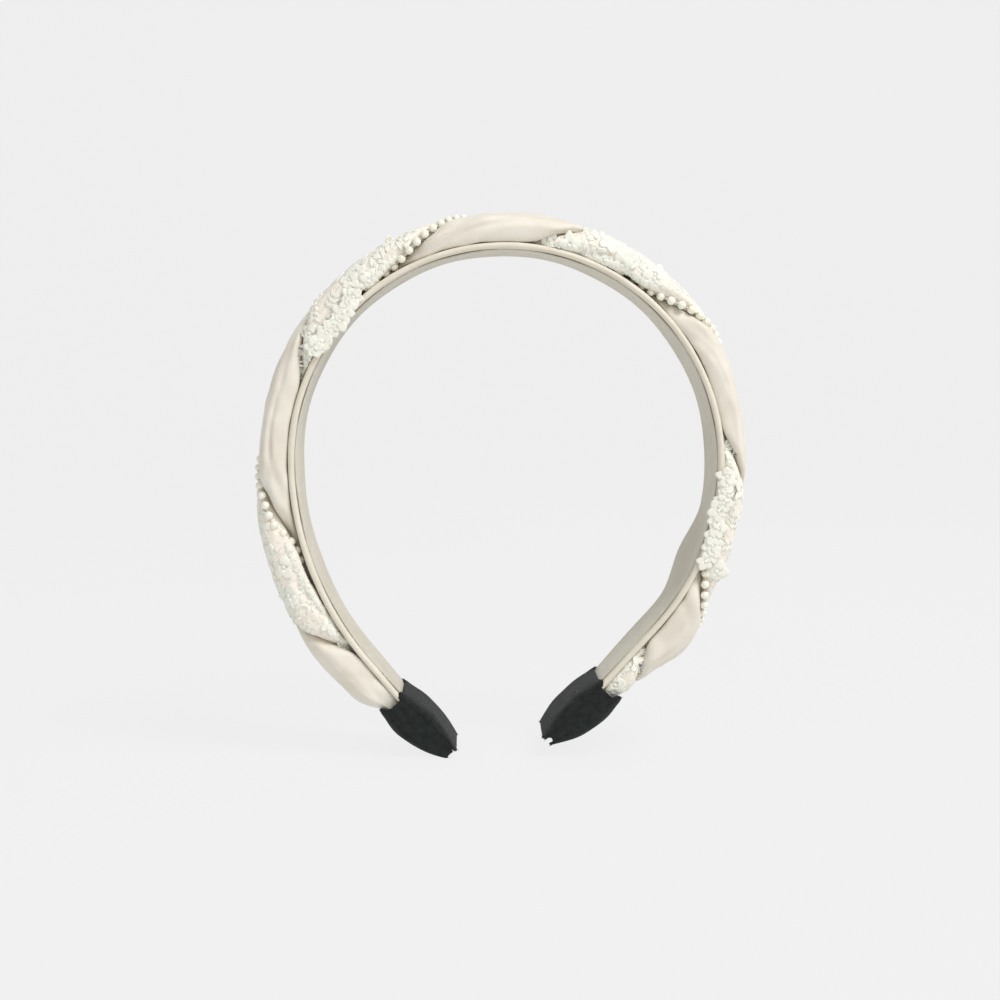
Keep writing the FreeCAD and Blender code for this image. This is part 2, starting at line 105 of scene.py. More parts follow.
def rail(s):
    """The point at s on the core's middle surface and the outward normal there, in the plane y = 0."""
    if s < 0:
        side, crown, radius, side_turn = -1, LEFT_CROWN_RADIUS, LEFT_SIDE_RADIUS, LEFT_SIDE_TURN
    else:
        side, crown, radius, side_turn = 1, RIGHT_CROWN_RADIUS, RIGHT_SIDE_RADIUS, RIGHT_SIDE_TURN
    run, centre = abs(s), CROWN_RISE - crown
    if run <= crown * math.pi / 2:
        nx, nz = math.sin(run / crown), math.cos(run / crown)
        x, z = crown * nx, centre + crown * nz
    else:
        past = run - crown * math.pi / 2
        turn = min(past / radius, side_turn)
        straight = past - radius * turn
        nx, nz = math.cos(turn), -math.sin(turn)
        x = crown - radius + radius * nx + straight * nz
        z = centre + radius * nz - straight * nx
    return x * side, z, nx * side, nz


def place(s, y, h):
    """Points in the row frame for s and arrays (or numbers) y and h."""
    x, z, nx, nz = rail(s)
    y, h = np.broadcast_arrays(np.asarray(y, float), np.asarray(h, float))
    return np.stack([x + h * nx + CENTRE_SHIFT, y, z + h * nz + CENTRE_HEIGHT], axis=-1)


def smooth_step(value, start, end):
    share = np.clip((value - start) / (end - start), 0.0, 1.0)
    return share * share * (3 - 2 * share)


def bump(value, middle, reach):
    """1 at the middle, falling smoothly to 0 at reach on each side."""
    return 1 - smooth_step(np.abs(value - middle), 0.0, reach)


def half_width(s):
    share = min(max(-rail(s)[1] / TAPER_DROP, 0.0), 1.0)
    return CROWN_HALF_WIDTH + (TIP_HALF_WIDTH - CROWN_HALF_WIDTH) * share


def sleeve_rise(share):
    straight = SLEEVE_MOUTH_RISE + (SLEEVE_TIP_RISE - SLEEVE_MOUTH_RISE) * share
    return straight + 4 * SLEEVE_BULGE * share * (1 - share)


# ---- the plait's strands ----

def period(s):
    """How many plait periods the pearl string has run at s, smoothed between the marks."""
    marks = PEARL_FRONT_MARKS
    k = max(i for i in range(1, len(marks) - 2) if marks[i] <= s or i == 1)
    if s < marks[1]:
        return (s - marks[0]) / (marks[1] - marks[0])
    span = marks[k + 1] - marks[k]
    t = (s - marks[k]) / span
    slope_in = 2 * span / (marks[k + 1] - marks[k - 1])
    slope_out = 2 * span / (marks[k + 2] - marks[k])
    bend = slope_in * (t ** 3 - 2 * t ** 2 + t) + slope_out * (t ** 3 - t ** 2)
    return k + bend + 3 * t ** 2 - 2 * t ** 3


def fullness(s):
    for (first, low), (last, high) in zip(FULLNESS, FULLNESS[1:]):
        if s <= last:
            break
    return low + (high - low) * float(smooth_step(s, first, last))


def narrowing(s):
    return half_width(s) / CROWN_HALF_WIDTH - 0.15 * float(smooth_step(-fullness(s), -1, -SLEEVE_SQUEEZE))


def plait_half_sizes(s):
    return PLAIT_HALF_WIDTH * narrowing(s), PLAIT_HALF_HEIGHT * fullness(s)


def plait_middle(s):
    return FACE + STRAND_GAP + plait_half_sizes(s)[1]


def twist(s):
    """How far the satin strand has turned round the plait's middle: 0 at the front, a quarter turn on top."""
    run = period(s)
    late = SATIN_LATE_TURN * float(bump(s, SATIN_LATE_AT, SATIN_LATE_REACH))
    return 2 * math.pi * (run - TWIST_LAG) - TWIST_UNEVENNESS * math.cos(4 * math.pi * run) - late


def pearl_middle(s):
    run = period(s)
    halves = math.floor(2 * run)
    at = run - halves / 2
    knots = PEARL_PATH
    k = max(i for i in range(1, len(knots) - 2) if knots[i][0] <= at)
    span = knots[k + 1][0] - knots[k][0]
    t = (at - knots[k][0]) / span
    shares = []
    for j in (1, 2):
        slope_in = span * (knots[k + 1][j] - knots[k - 1][j]) / (knots[k + 1][0] - knots[k - 1][0])
        slope_out = span * (knots[k + 2][j] - knots[k][j]) / (knots[k + 2][0] - knots[k][0])
        bend = slope_in * (t ** 3 - 2 * t ** 2 + t) + slope_out * (t ** 3 - t ** 2)
        shares.append(knots[k][j] + bend + (knots[k + 1][j] - knots[k][j]) * (3 * t ** 2 - 2 * t ** 3))
    half_y, half_h = plait_half_sizes(s)
    y, h = shares[0] * half_y * (-1) ** halves, plait_middle(s) + shares[1] * half_h
    return y, max(h, FACE + PEARL_RADIUS + STRAND_GAP)


def string_radius(s):
    mouth = RIGHT_MOUTH if s > 0 else -LEFT_MOUTH
    past_mouth = float(smooth_step(abs(s), mouth, mouth + PEARL_RADIUS))
    return PEARL_RADIUS + (THREAD_RADIUS - PEARL_RADIUS) * past_mouth


def roof(s):
    """How high the strands may reach at s: under the sleeves near the ends, and higher away from them."""
    past_mouth = LEFT_MOUTH - s if s < 0 else s - RIGHT_MOUTH
    return sleeve_rise(max(past_mouth, 0) / SLEEVE_LENGTH) - 0.5 + 1.2 * max(-past_mouth, 0)


def settle(y, h, walls):
    """Shift a strand's middle off the walls that are too close to it."""
    for _ in range(SETTLE_MOVES):
        wall_y, wall_h, room = min(walls, key=lambda one: one[2])
        if room >= STRAND_ROOM:
            break
        move_y, move_h = -SETTLE_STEP * wall_y, -SETTLE_STEP * wall_h
        y, h = y + move_y, h + move_h
        walls = [(wy, wh, space - move_y * wy - move_h * wh) for wy, wh, space in walls]
    return y, h, walls


ANGLES = np.linspace(0, 2 * math.pi, AROUND, endpoint=False)


def outline_reach(y, h, out, half_y, half_h):
    """How far it is from (y, h) to the plait's outline, in each direction."""
    near, far = np.zeros(len(out)), np.full(len(out), 3 * half_y)
    for _ in range(30):
        half = (near + far) / 2
        inside = (np.abs(y + half * out[:, 0]) / half_y) ** PLAIT_SQUARENESS
        inside += (np.abs(h + half * out[:, 1]) / half_h) ** PLAIT_SQUARENESS
        near, far = np.where(inside < 1, half, near), np.where(inside < 1, far, half)
    return near


def strand_section(turned, s):
    """Points (y, h) round a strand at s, and their clearance: 1 at the other strand or the band, then more."""
    turn = twist(s) + turned
    half_y, half_h = plait_half_sizes(s)
    middle = plait_middle(s)
    cos, sin = math.cos(turn), math.sin(turn)
    y, h = -STRAND_SWING * narrowing(s) * cos, middle + STRAND_RISE * fullness(s) * sin
    across = math.hypot(half_h * cos, half_y * sin)
    wall_y, wall_h = half_h * cos / across, -half_y * sin / across
    pearl_y, pearl_h = pearl_middle(s)
    off = max(math.hypot(pearl_y - y, pearl_h - h), 0.1)
    string = string_radius(s) + STRAND_GAP
    y, h, walls = settle(y, h, [
        (wall_y, wall_h, -y * wall_y + (middle - h) * wall_h - STRAND_GAP / 2),
        ((pearl_y - y) / off, (pearl_h - h) / off, off - string),
        (0, -1, h - FACE - STRAND_GAP),
        (0, 1, roof(s) - h),
        (-1, 0, y + half_y),
        (1, 0, half_y - y),
    ])
    out = np.stack([half_y * np.cos(ANGLES), half_h * np.sin(ANGLES)], axis=1)
    out /= np.linalg.norm(out, axis=1)[:, None]
    limits = [outline_reach(y, h - middle, out, half_y, half_h)]
    off = max(math.hypot(pearl_y - y, pearl_h - h), 0.1)
    aside = np.arccos(np.clip(out @ np.array([pearl_y - y, pearl_h - h]) / off, -1, 1))
    groove = np.cos(np.minimum(aside * GROOVE_SHARPNESS, math.pi / 2 - 0.001))
    limits.append(max(off - string, 0.4) / groove)
    for wall_y, wall_h, room in walls[:1] + walls[2:4]:
        facing = out @ np.array([wall_y, wall_h])
        limits.append(np.where(facing > 0.01, max(room, 0.4) / np.maximum(facing, 0.01), 1e3))
    limits = np.array(limits)
    length = (limits ** -CORNER_POWER).sum(axis=0) ** (-1 / CORNER_POWER)
    clear = np.minimum(limits[2], limits[3]) / length
    points = np.array([y, h]) + length[:, None] * out
    low_edge = smooth_step(np.abs(points[:, 0]) / half_y, *DROOP_REACH)
    low_edge = low_edge * smooth_step(-points[:, 1], -middle, -FACE)
    points[:, 1] -= DROOP * low_edge * smooth_step(fullness(s), SLEEVE_SQUEEZE, 0.8)
    points[:, 0] += DROOP_SPREAD * np.sign(points[:, 0]) * low_edge
    return points, clear


def smoothed_along(grid, passes):
    """Rows averaged with their neighbours."""
    for _ in range(passes):
        padded_grid = np.concatenate([grid[:1], grid, grid[-1:]])
        grid = (padded_grid[:-2] + 2 * padded_grid[1:-1] + padded_grid[2:]) / 4
    return grid


def smoothed_round(grid, passes):
    for _ in range(passes):
        grid = (np.roll(grid, 1, axis=1) + 2 * grid + np.roll(grid, -1, axis=1)) / 4
    return grid


def folds(stations, seed, count, depth):
    """Creases that run along a strand and drift round it: a height for each row and column."""
    random = np.random.RandomState(seed)
    s, angle = stations[:, None], ANGLES[None, :]
    height = np.zeros((len(stations), AROUND))
    for k in range(count):
        middle = 2 * math.pi * (k + random.uniform(-0.3, 0.3)) / count
        sway = random.uniform(0.25, 0.6)
        drift = sway * np.sin(2 * math.pi * s / random.uniform(55, 110) + random.uniform(0, 6))
        width = random.uniform(0.13, 0.26)
        swell = np.sin(math.pi * s / random.uniform(30, 60) + random.uniform(0, 3)) ** 2
        strength = depth * (0.25 + 0.75 * swell)
        off = np.abs((angle - middle - drift + math.pi) % (2 * math.pi) - math.pi)
        height -= strength * np.exp(-(off / width) ** 2)
        height += 0.55 * strength * np.exp(-((off - 1.9 * width) / width) ** 2)
    return height


def ripples(stations, seed, depth):
    """Small soft unevenness of gathered cloth."""
    random = np.random.RandomState(seed)
    s, angle = stations[:, None], ANGLES[None, :]
    height = np.zeros((len(stations), AROUND))
    for _ in range(14):
        wave, turns = random.uniform(5, 16), random.randint(1, 6)
        height += np.sin(2 * math.pi * s / wave + turns * angle + random.uniform(0, 6))
    return depth * height / 4


def grid_normals(grid):
    along = np.gradient(grid, axis=0)
    around = np.roll(grid, -1, axis=1) - np.roll(grid, 1, axis=1)
    normal = np.cross(around, along)
    normal /= np.maximum(np.linalg.norm(normal, axis=2, keepdims=True), 1e-9)
    outward = grid - grid.mean(axis=1, keepdims=True)
    return normal if (normal * outward).sum() > 0 else -normal


def strand_grid(turned, seed, count, depth):
    """A strand's skin as rows of points in the row frame, with each point's clearance, and its stations."""
    stations = np.arange(LEFT_MOUTH - STRAND_INTO_SLEEVE, RIGHT_MOUTH + STRAND_INTO_SLEEVE, ROW_STEP)
    sections, clears = zip(*(strand_section(turned, s) for s in stations))
    flat = smoothed_round(smoothed_along(np.array(sections), 7), 1)
    skin = np.array([place(s, row[:, 0], row[:, 1]) for s, row in zip(stations, flat)])
    squeeze = np.array([max(fullness(s) - SLEEVE_SQUEEZE, 0.05) for s in stations])[:, None]
    open_share = smooth_step(np.array(clears), 1.0, 1.35)
    height = (folds(stations, seed, count, depth) + ripples(stations, seed + 1, 0.25 * depth))
    height = height * np.minimum(squeeze * 2, 1) * (0.35 + 0.65 * open_share)
    skin = skin + grid_normals(skin) * height[:, :, None]
    return smoothed_round(skin, 1), np.array(clears), stations


# ---- meshes ----

def mesh_object(name, points, faces, material, uvs=None):
    """A smooth mesh from points in millimetres, with one (u, v) in millimetres per point."""
    mesh = bpy.data.meshes.new(name)
    mesh.from_pydata([tuple(p) for p in np.asarray(points) * MM], [], [tuple(f) for f in faces])
    mesh.validate()
    mesh.polygons.foreach_set("use_smooth", [True] * len(mesh.polygons))
    if uvs is not None:
        layer = mesh.uv_layers.new(name="weave")
        corners = np.zeros(len(mesh.loops), dtype=np.int64)
        mesh.loops.foreach_get("vertex_index", corners)
        layer.data.foreach_set("uv", np.asarray(uvs, float)[corners].ravel())
    mesh.materials.append(material)
    obj = bpy.data.objects.new(name, mesh)
    bpy.context.scene.collection.objects.link(obj)
    return obj


def ring_faces(rows, around, first=0):
    """Quads joining rows of a closed ring of points."""
    faces = []
    for r in range(rows - 1):
        for c in range(around):
            d = (c + 1) % around
            a = first + r * around
            faces.append((a + c, a + d, a + around + d, a + around + c))
    return faces


def grid_uvs(grid, stations):
    """(s, girth so far) for each point of a grid."""
    steps = np.linalg.norm(np.roll(grid, -1, axis=1) - grid, axis=2)
    girth = np.concatenate([np.zeros((len(grid), 1)), np.cumsum(steps, axis=1)[:, :-1]], axis=1)
    along = np.broadcast_to(np.asarray(stations)[:, None], girth.shape)
    return np.stack([along, girth], axis=2).reshape(-1, 2)


def solid_tube(name, grid, stations, material):
    """A tube with flat ends."""
    rows, around = grid.shape[:2]
    faces = ring_faces(rows, around)
    faces.append(tuple(range(around))[::-1])
    faces.append(tuple(range((rows - 1) * around, rows * around)))
    return mesh_object(name, grid.reshape(-1, 3), faces, material, grid_uvs(grid, stations))


def open_tube(name, outer, inner, stations, material):
    """A tube with an outer and an inner side, open at both ends."""
    rows, around = outer.shape[:2]
    points = np.concatenate([outer.reshape(-1, 3), inner.reshape(-1, 3)])
    faces = ring_faces(rows, around) + [face[::-1] for face in ring_faces(rows, around, rows * around)]
    for row, turned in ((0, False), (rows - 1, True)):
        for c in range(around):
            d = (c + 1) % around
            a, b = row * around, (rows + row) * around
            rim = (a + c, b + c, b + d, a + d)
            faces.append(rim[::-1] if turned else rim)
    uvs = np.concatenate([grid_uvs(outer, stations)] * 2)
    return mesh_object(name, points, faces, material, uvs)


def cloth_tube(name, grid, thickness, material):
    return open_tube(name, grid, grid - grid_normals(grid) * thickness, strand_stations, material)


# ---- materials ----

def linear(red, green, blue):
    """A colour given in 0-255 screen values, as the linear colour that Blender mixes."""
    def one(value):
        value /= 255
        return value / 12.92 if value <= 0.04045 else ((value + 0.055) / 1.055) ** 2.4
    return one(red), one(green), one(blue), 1.0


class Material:
    """A node material: a principled shader with its colour and its bump built up layer by layer."""

    def __init__(self, name):
        self.material = bpy.data.materials.new(name)
        self.material.use_nodes = True
        self.nodes = self.material.node_tree.nodes
        self.links = self.material.node_tree.links
        self.shader = self.nodes["Principled BSDF"]
        self.place = self.nodes.new("ShaderNodeTexCoord")
        self.height = None

    def set(self, **values):
        for name, value in values.items():
            self.shader.inputs[name.replace("_", " ")].default_value = value
        return self

    def texture(self, kind, per_mm):
        """A texture node with about per_mm features to a millimetre."""
        mapping = self.nodes.new("ShaderNodeMapping")
        mapping.inputs["Scale"].default_value = (per_mm / MM,) * 3
        self.links.new(self.place.outputs["Object"], mapping.inputs["Vector"])
        node = self.nodes.new(kind)
        self.links.new(mapping.outputs["Vector"], node.inputs["Vector"])
        node.inputs["Scale"].default_value = 1.0
        return node

    def noise(self, per_mm, detail=3.0):
        node = self.texture("ShaderNodeTexNoise", per_mm)
        node.inputs["Detail"].default_value = detail
        return node.outputs["Fac"]

    def cells(self, per_mm):
        return self.texture("ShaderNodeTexVoronoi", per_mm).outputs["Distance"]

    def threads(self, pitch, direction, wobble=1.0):
        """Waves one pitch apart, in millimetres of the piece's own length (X) and width (Y)."""
        node = self.nodes.new("ShaderNodeTexWave")
        node.bands_direction = direction
        node.inputs["Scale"].default_value = math.pi / 10 / pitch
        node.inputs["Distortion"].default_value = wobble
        node.inputs["Detail"].default_value = 1.0
        node.inputs["Detail Scale"].default_value = 1.0
        self.links.new(self.place.outputs["UV"], node.inputs["Vector"])
        return node.outputs["Fac"]

    def colour(self, stops, factor):
        """Base colour from a ramp of (place, colour)."""
        ramp = self.nodes.new("ShaderNodeValToRGB")
        elements = ramp.color_ramp.elements
        while len(elements) < len(stops):
            elements.new(0.5)
        for element, (at, shade) in zip(elements, stops):
            element.position = at
            element.color = shade
        self.links.new(factor, ramp.inputs["Fac"])
        self.links.new(ramp.outputs["Color"], self.shader.inputs["Base Color"])
        return self

    def bump(self, height, depth):
        """Adds relief of that depth in millimetres."""
        node = self.nodes.new("ShaderNodeBump")
        node.inputs["Distance"].default_value = depth * MM
        self.links.new(height, node.inputs["Height"])
        if self.height is not None:
            self.links.new(self.height, node.inputs["Normal"])
        self.height = node.outputs["Normal"]
        self.links.new(self.height, self.shader.inputs["Normal"])
        return self


def satin(name, light, dark, roughness=0.42):
    """Satin or ribbon: fine threads one way, faint across, with soft patches of tone."""
    m = Material(name)
    m.set(Roughness=roughness, Sheen_Weight=0.25, Sheen_Roughness=0.4, Specular_IOR_Level=0.45)
    m.colour([(0.3, dark), (0.7, light)], m.noise(0.12, 4))
    m.bump(m.threads(0.22, "Y", 0.6), 0.025)
    m.bump(m.threads(0.35, "X", 0.8), 0.015)
    m.bump(m.noise(0.5, 3), 0.06)
    return m.material


def backing_cloth(name):
    """Cloth under the lace, seen between its motifs."""
    m = Material(name)
    m.set(Roughness=0.75, Sheen_Weight=0.2)
    m.colour([(0.1, linear(222, 214, 200)), (0.5, linear(240, 233, 220))], m.cells(0.9))
    m.bump(m.cells(1.3), 0.06)
    return m.material


def lace_thread(name):
    """Embroidered cotton: stitches across each petal."""
    m = Material(name)
    m.set(Roughness=0.8, Sheen_Weight=0.35, Sheen_Roughness=0.5)
    m.colour([(0.3, linear(238, 236, 223)), (0.7, linear(248, 247, 235))], m.noise(0.3, 3))
    m.bump(m.threads(0.3, "X", 1.5), 0.04)
    m.bump(m.noise(1.5, 2), 0.04)
    return m.material


def pearl(name):
    m = Material(name)
    m.set(Roughness=0.22, Specular_IOR_Level=0.6, Coat_Weight=0.6, Coat_Roughness=0.12)
    m.colour([(0.35, linear(240, 236, 216)), (0.65, linear(248, 246, 234))], m.noise(0.25, 2))
    m.bump(m.noise(1.2, 2), 0.01)
    return m.material


def thread_cotton(name, shade):
    m = Material(name)
    m.set(Roughness=0.7, Sheen_Weight=0.3)
    lighter = tuple(min(1.0, 1.15 * part) for part in shade[:3]) + (1.0,)
    m.colour([(0.3, shade), (0.7, lighter)], m.noise(1.0, 2))
    m.bump(m.noise(4.0, 2), 0.05)
    return m.material


def black_fabric(name):
    m = Material(name)
    m.set(Roughness=0.95, Sheen_Weight=0.12, Sheen_Roughness=0.6, Specular_IOR_Level=0.2)
    m.colour([(0.3, linear(14, 19, 18)), (0.7, linear(31, 38, 36))], m.noise(0.5, 4))
    m.bump(m.threads(0.5, "X", 1.2), 0.12)
    m.bump(m.threads(0.55, "Y", 1.2), 0.1)
    m.bump(m.noise(2.0, 3), 0.15)
    return m.material


def wadding(name):
    m = Material(name)
    m.set(Roughness=1.0, Sheen_Weight=0.5)
    m.colour([(0.3, linear(225, 225, 222)), (0.7, linear(245, 245, 243))], m.noise(0.6, 4))
    m.bump(m.noise(1.5, 5), 0.4)
    return m.material


def plastic(name):
    m = Material(name)
    m.set(Roughness=0.45)
    m.colour([(0.4, linear(222, 216, 202)), (0.6, linear(228, 222, 208))], m.noise(0.05, 2))
    m.bump(m.noise(0.8, 2), 0.01)
    return m.material


SATIN = satin("plait_satin", linear(236, 230, 217), linear(226, 218, 203))
RIBBON = satin("ribbon_satin", linear(232, 225, 209), linear(222, 214, 196), 0.5)
# Painted shade: the lining's colours are set darker than the ribbon's to stand in for the shade that falls on
# the band's inner face.
LINING_PAINTED_SHADE = satin("lining_satin", linear(208, 202, 185), linear(198, 191, 173), 0.55)
BACKING = backing_cloth("backing_cloth")
LACE = lace_thread("lace_thread")
PEARL = pearl("pearl")
THREAD = thread_cotton("thread", linear(236, 230, 214))
BLACK = black_fabric("black_fabric")
WADDING = wadding("wadding")
CORE = plastic("core_plastic")


# ---- the two cloth strands ----

satin_skin, _, strand_stations = strand_grid(0, 3, 7, 0.42)
lace_skin, lace_clear, _ = strand_grid(math.pi, 8, 6, 0.3)
SATIN_THICKNESS, BACKING_THICKNESS, WADDING_GAP = 0.3, 0.25, 0.15


def inner_body(name, grid, inset, material):
    """The wadding inside a strand, between the sleeves' mouths."""
    keep = (strand_stations > LEFT_MOUTH) & (strand_stations < RIGHT_MOUTH)
    inner = grid - grid_normals(grid) * inset
    return solid_tube(name, smoothed_along(inner[keep], 2), strand_stations[keep], material)


satin_strand = cloth_tube("satin_strand", satin_skin, SATIN_THICKNESS, SATIN)
lace_backing = cloth_tube("lace_backing", lace_skin, BACKING_THICKNESS, BACKING)
satin_wadding = inner_body("satin_wadding", satin_skin, SATIN_THICKNESS + WADDING_GAP, WADDING)
lace_wadding = inner_body("lace_wadding", lace_skin, BACKING_THICKNESS + WADDING_GAP, WADDING)


# ---- the band: ribbon cover and lining ----

EDGE_BULGE, EDGE_ROUNDING, EDGE_STEPS = 0.45, 0.5, 12
FLAT_FROM_EDGE = 2.5     # the ribbon lies flat on both faces up to here
HEM_WIDTH, RIBBON_THICKNESS = 4.0, 0.28
LINING_SETBACK = 0.9


def cover_section(s):
    """The ribbon's outline (y, h) at s: over the outer face, round both edges, to the hems' ends and back."""
    half = half_width(s)
    puff = 0.12 * math.sin(s / 3.1) + 0.1 * math.sin(s / 7.7 + 1)
    across, up = EDGE_ROUNDING + EDGE_BULGE + 0.2 * puff, 0.95 + 0.2 * puff
    right, inner_right = [], []
    for k in range(EDGE_STEPS + 1):
        turn = math.pi * (k / EDGE_STEPS - 0.5)
        y, h = half - EDGE_ROUNDING + across * math.cos(turn), 0.1 + up * math.sin(turn)
        right.append((y, h))
        inner_right.append((y - RIBBON_THICKNESS * math.cos(turn), h - RIBBON_THICKNESS * math.sin(turn)))
    hem_end, flat_end = half - HEM_WIDTH, half - FLAT_FROM_EDGE
    outer = [(hem_end, INNER_FACE + 0.25), (flat_end, INNER_FACE + 0.1)] + right + [(flat_end, FACE + 0.05)]
    outline = outer + [(-y, h) for y, h in reversed(outer)]
    inner = [(hem_end, INNER_FACE + 0.45), (flat_end, INNER_FACE + 0.4)] + inner_right
    inner += [(flat_end, FACE - 0.22)]
    back = inner + [(-y, h) for y, h in reversed(inner)]
    return np.array(outline + back[::-1])


def looseness(s, y):
    """How far the lining stands off the band at s and y."""
    back_edge = 2.2 * bump(s, 133.0, 17.0) * smooth_step(y, -4.0, 12.0)
    return back_edge + 0.12 * (1 + np.sin(s / 5.3 + y / 6)) * smooth_step(np.abs(y), 4, 12)


def lining_section(s):
    """The lining's outline (y, h) at s, with thicker woven edges."""
    half = half_width(s) - LINING_SETBACK
    y = np.linspace(-half, half, 41)
    lift = looseness(s, y)
    edge = 0.12 * smooth_step(np.abs(y), half - 1.0, half - 0.5)
    low = INNER_FACE - 0.12 - lift - edge
    high = INNER_FACE + 0.1 - lift
    return np.stack([np.concatenate([y, y[::-1]]), np.concatenate([high, low[::-1]])], axis=1)


def band_layer(name, section, start, end, material):
    stations = np.arange(start, end, ROW_STEP)
    grid = np.array([place(s, *section(s).T) for s in stations])
    return solid_tube(name, grid, stations, material)


RIBBON_STOPS_SHORT = 3.0
RIBBON_START, RIBBON_END = LEFT_END + RIBBON_STOPS_SHORT, RIGHT_END - RIBBON_STOPS_SHORT
band_ribbon = band_layer("band_ribbon", cover_section, RIBBON_START, RIBBON_END, RIBBON)
band_lining = band_layer("band_lining", lining_section, RIBBON_START, RIBBON_END, LINING_PAINTED_SHADE)


# ---- the pearl string ----

def string_place(s):
    y, h = pearl_middle(s)
    return place(s, y, h)


def bead_places():
    """Places s of the beads, one pitch apart along the string, from mouth to mouth."""
    fine = np.arange(LEFT_MOUTH + PEARL_RADIUS, RIGHT_MOUTH - PEARL_RADIUS, 0.05)
    line = np.array([string_place(s) for s in fine])
    gone = np.concatenate([[0.0], np.cumsum(np.linalg.norm(np.diff(line, axis=0), axis=1))])
    return np.interp(np.arange(0, gone[-1], PEARL_PITCH), gone, fine)


def tree_of(*grids):
    """A search tree over closed-ring grids, in millimetres."""
    points, faces = [], []
    for grid in grids:
        faces += ring_faces(*grid.shape[:2], first=len(points))
        points += [tuple(p) for p in grid.reshape(-1, 3)]
    return BVHTree.FromPolygons(points, faces)


PLAIT_TREE = tree_of(satin_skin, lace_skin)
BEAD_SINK = 0.35         # share of its radius that a bead sits in the cloth
OVER_PLAIT = 0.02, 0.27  # shares of a period in which the string runs over the plait
HIGHEST_LIFT = 4.0
OUTSIDE = 30.0           # a ray starts this far out


def outward(s):
    _, _, nx, nz = rail(s)
    return np.array([nx, 0.0, nz])


def lifted_bead(s):
    """A bead's middle at s: at least on top of the cloth wherever the string runs over the plait."""
    middle, up = string_place(s), outward(s)
    if not OVER_PLAIT[0] < period(s) % 0.5 < OVER_PLAIT[1]:
        return middle
    hit, _, _, _ = PLAIT_TREE.ray_cast(Vector(middle + up * OUTSIDE), Vector(-up))
    if hit is None:
        return middle
    rise = float(np.dot(np.array(hit) - middle, up)) + PEARL_RADIUS * (1 - BEAD_SINK)
    return middle + up * max(0.0, min(rise, HIGHEST_LIFT))


BEAD_PLACES = bead_places()
BEAD_MIDDLES = smoothed_along(np.array([lifted_bead(s) for s in BEAD_PLACES]), 2)


def turned_to(ahead):
    """Two directions square to a line, so that (side, up, ahead) are square to each other."""
    side = np.cross(ahead, [0.0, 1.0, 0.0])
    side /= np.linalg.norm(side)
    return side, np.cross(ahead, side)


def directions(line):
    ahead = np.gradient(line, axis=0)
    return ahead / np.linalg.norm(ahead, axis=1, keepdims=True)


def make_beads():
    """Every bead: a ball turned round the string, with its bore and a softened rim."""
    around, rings = 20, 11
    lip = math.asin(PEARL_BORE / PEARL_RADIUS)
    turns = np.linspace(lip, math.pi - lip, rings)
    profile = [(PEARL_RADIUS * math.sin(t), PEARL_RADIUS * math.cos(t)) for t in turns]
    profile += [(PEARL_BORE * 0.85, -PEARL_RADIUS * 0.86), (PEARL_BORE * 0.85, PEARL_RADIUS * 0.86)]
    spins = np.linspace(0, 2 * math.pi, around, endpoint=False)
    points, faces = [], []
    for middle, ahead in zip(BEAD_MIDDLES, directions(BEAD_MIDDLES)):
        side, up = turned_to(ahead)
        first = len(points)
        for radius, along in profile:
            for spin in spins:
                points.append(middle + ahead * along + radius * (side * math.cos(spin) + up * math.sin(spin)))
        for r in range(len(profile)):
            a, b = first + r * around, first + (r + 1) % len(profile) * around
            for c in range(around):
                d = (c + 1) % around
                faces.append((a + c, a + d, b + d, b + c))
    return mesh_object("pearl_string", points, faces, PEARL)


def tube_along(line, radius, around, first=0):
    """Points and faces of a round tube along a line, with closed ends."""
    points = []
    for middle, ahead in zip(line, directions(line)):
        side, up = turned_to(ahead)
        for k in range(around):
            spin = 2 * math.pi * k / around
            points.append(middle + radius * (side * math.cos(spin) + up * math.sin(spin)))
    faces = ring_faces(len(line), around, first)
    faces.append(tuple(range(first, first + around))[::-1])
    last = first + (len(line) - 1) * around
    faces.append(tuple(range(last, last + around)))
    return points, faces


def make_thread():
    """The string's thread, laid from two twisted plies."""
    knots = np.arange(len(BEAD_MIDDLES))
    fine = np.arange(0, len(BEAD_MIDDLES) - 1 + 1e-6, 0.1)
    line = np.stack([np.interp(fine, knots, BEAD_MIDDLES[:, k]) for k in range(3)], axis=1)
    line = smoothed_along(line, 6)
    ahead = directions(line)
    points, faces = [], []
    for ply in (0, math.pi):
        turn = ply + fine * 5.0
        sides = [turned_to(one) for one in ahead]
        off = np.array([side * math.cos(t) + up * math.sin(t) for (side, up), t in zip(sides, turn)])
        more, quads = tube_along(line + off * THREAD_RADIUS * 0.5, THREAD_RADIUS * 0.55, 6, len(points))
        points += more
        faces += quads
    return mesh_object("pearl_thread_plies", points, faces, THREAD)


pearl_string = make_beads()
pearl_thread_plies = make_thread()


# ---- lace: embroidered flowers, leaves and scallops laid over the strand ----

RANDOM = np.random.RandomState(21)
FREE_DEPTH = 1.4         # lace that finds no cloth within this depth hangs free
LACE_START = 1.6         # and none is looked for further out than this
TOUCHING = 1.06          # clearance below which the strand touches its neighbour
FLOWER_SPACING = 5.6
SPILLS = (-66.0, -46.0), (106.0, 134.0)    # where the lace hangs over the band's front edge
SPILL_HANG = 2.0
BEAD_CLEARANCE, FAN_CLEARANCE = 3.3, 2.9    # from a motif's middle to the nearest bead's
LOWEST_MOTIF = 0.6       # over the band's outer face


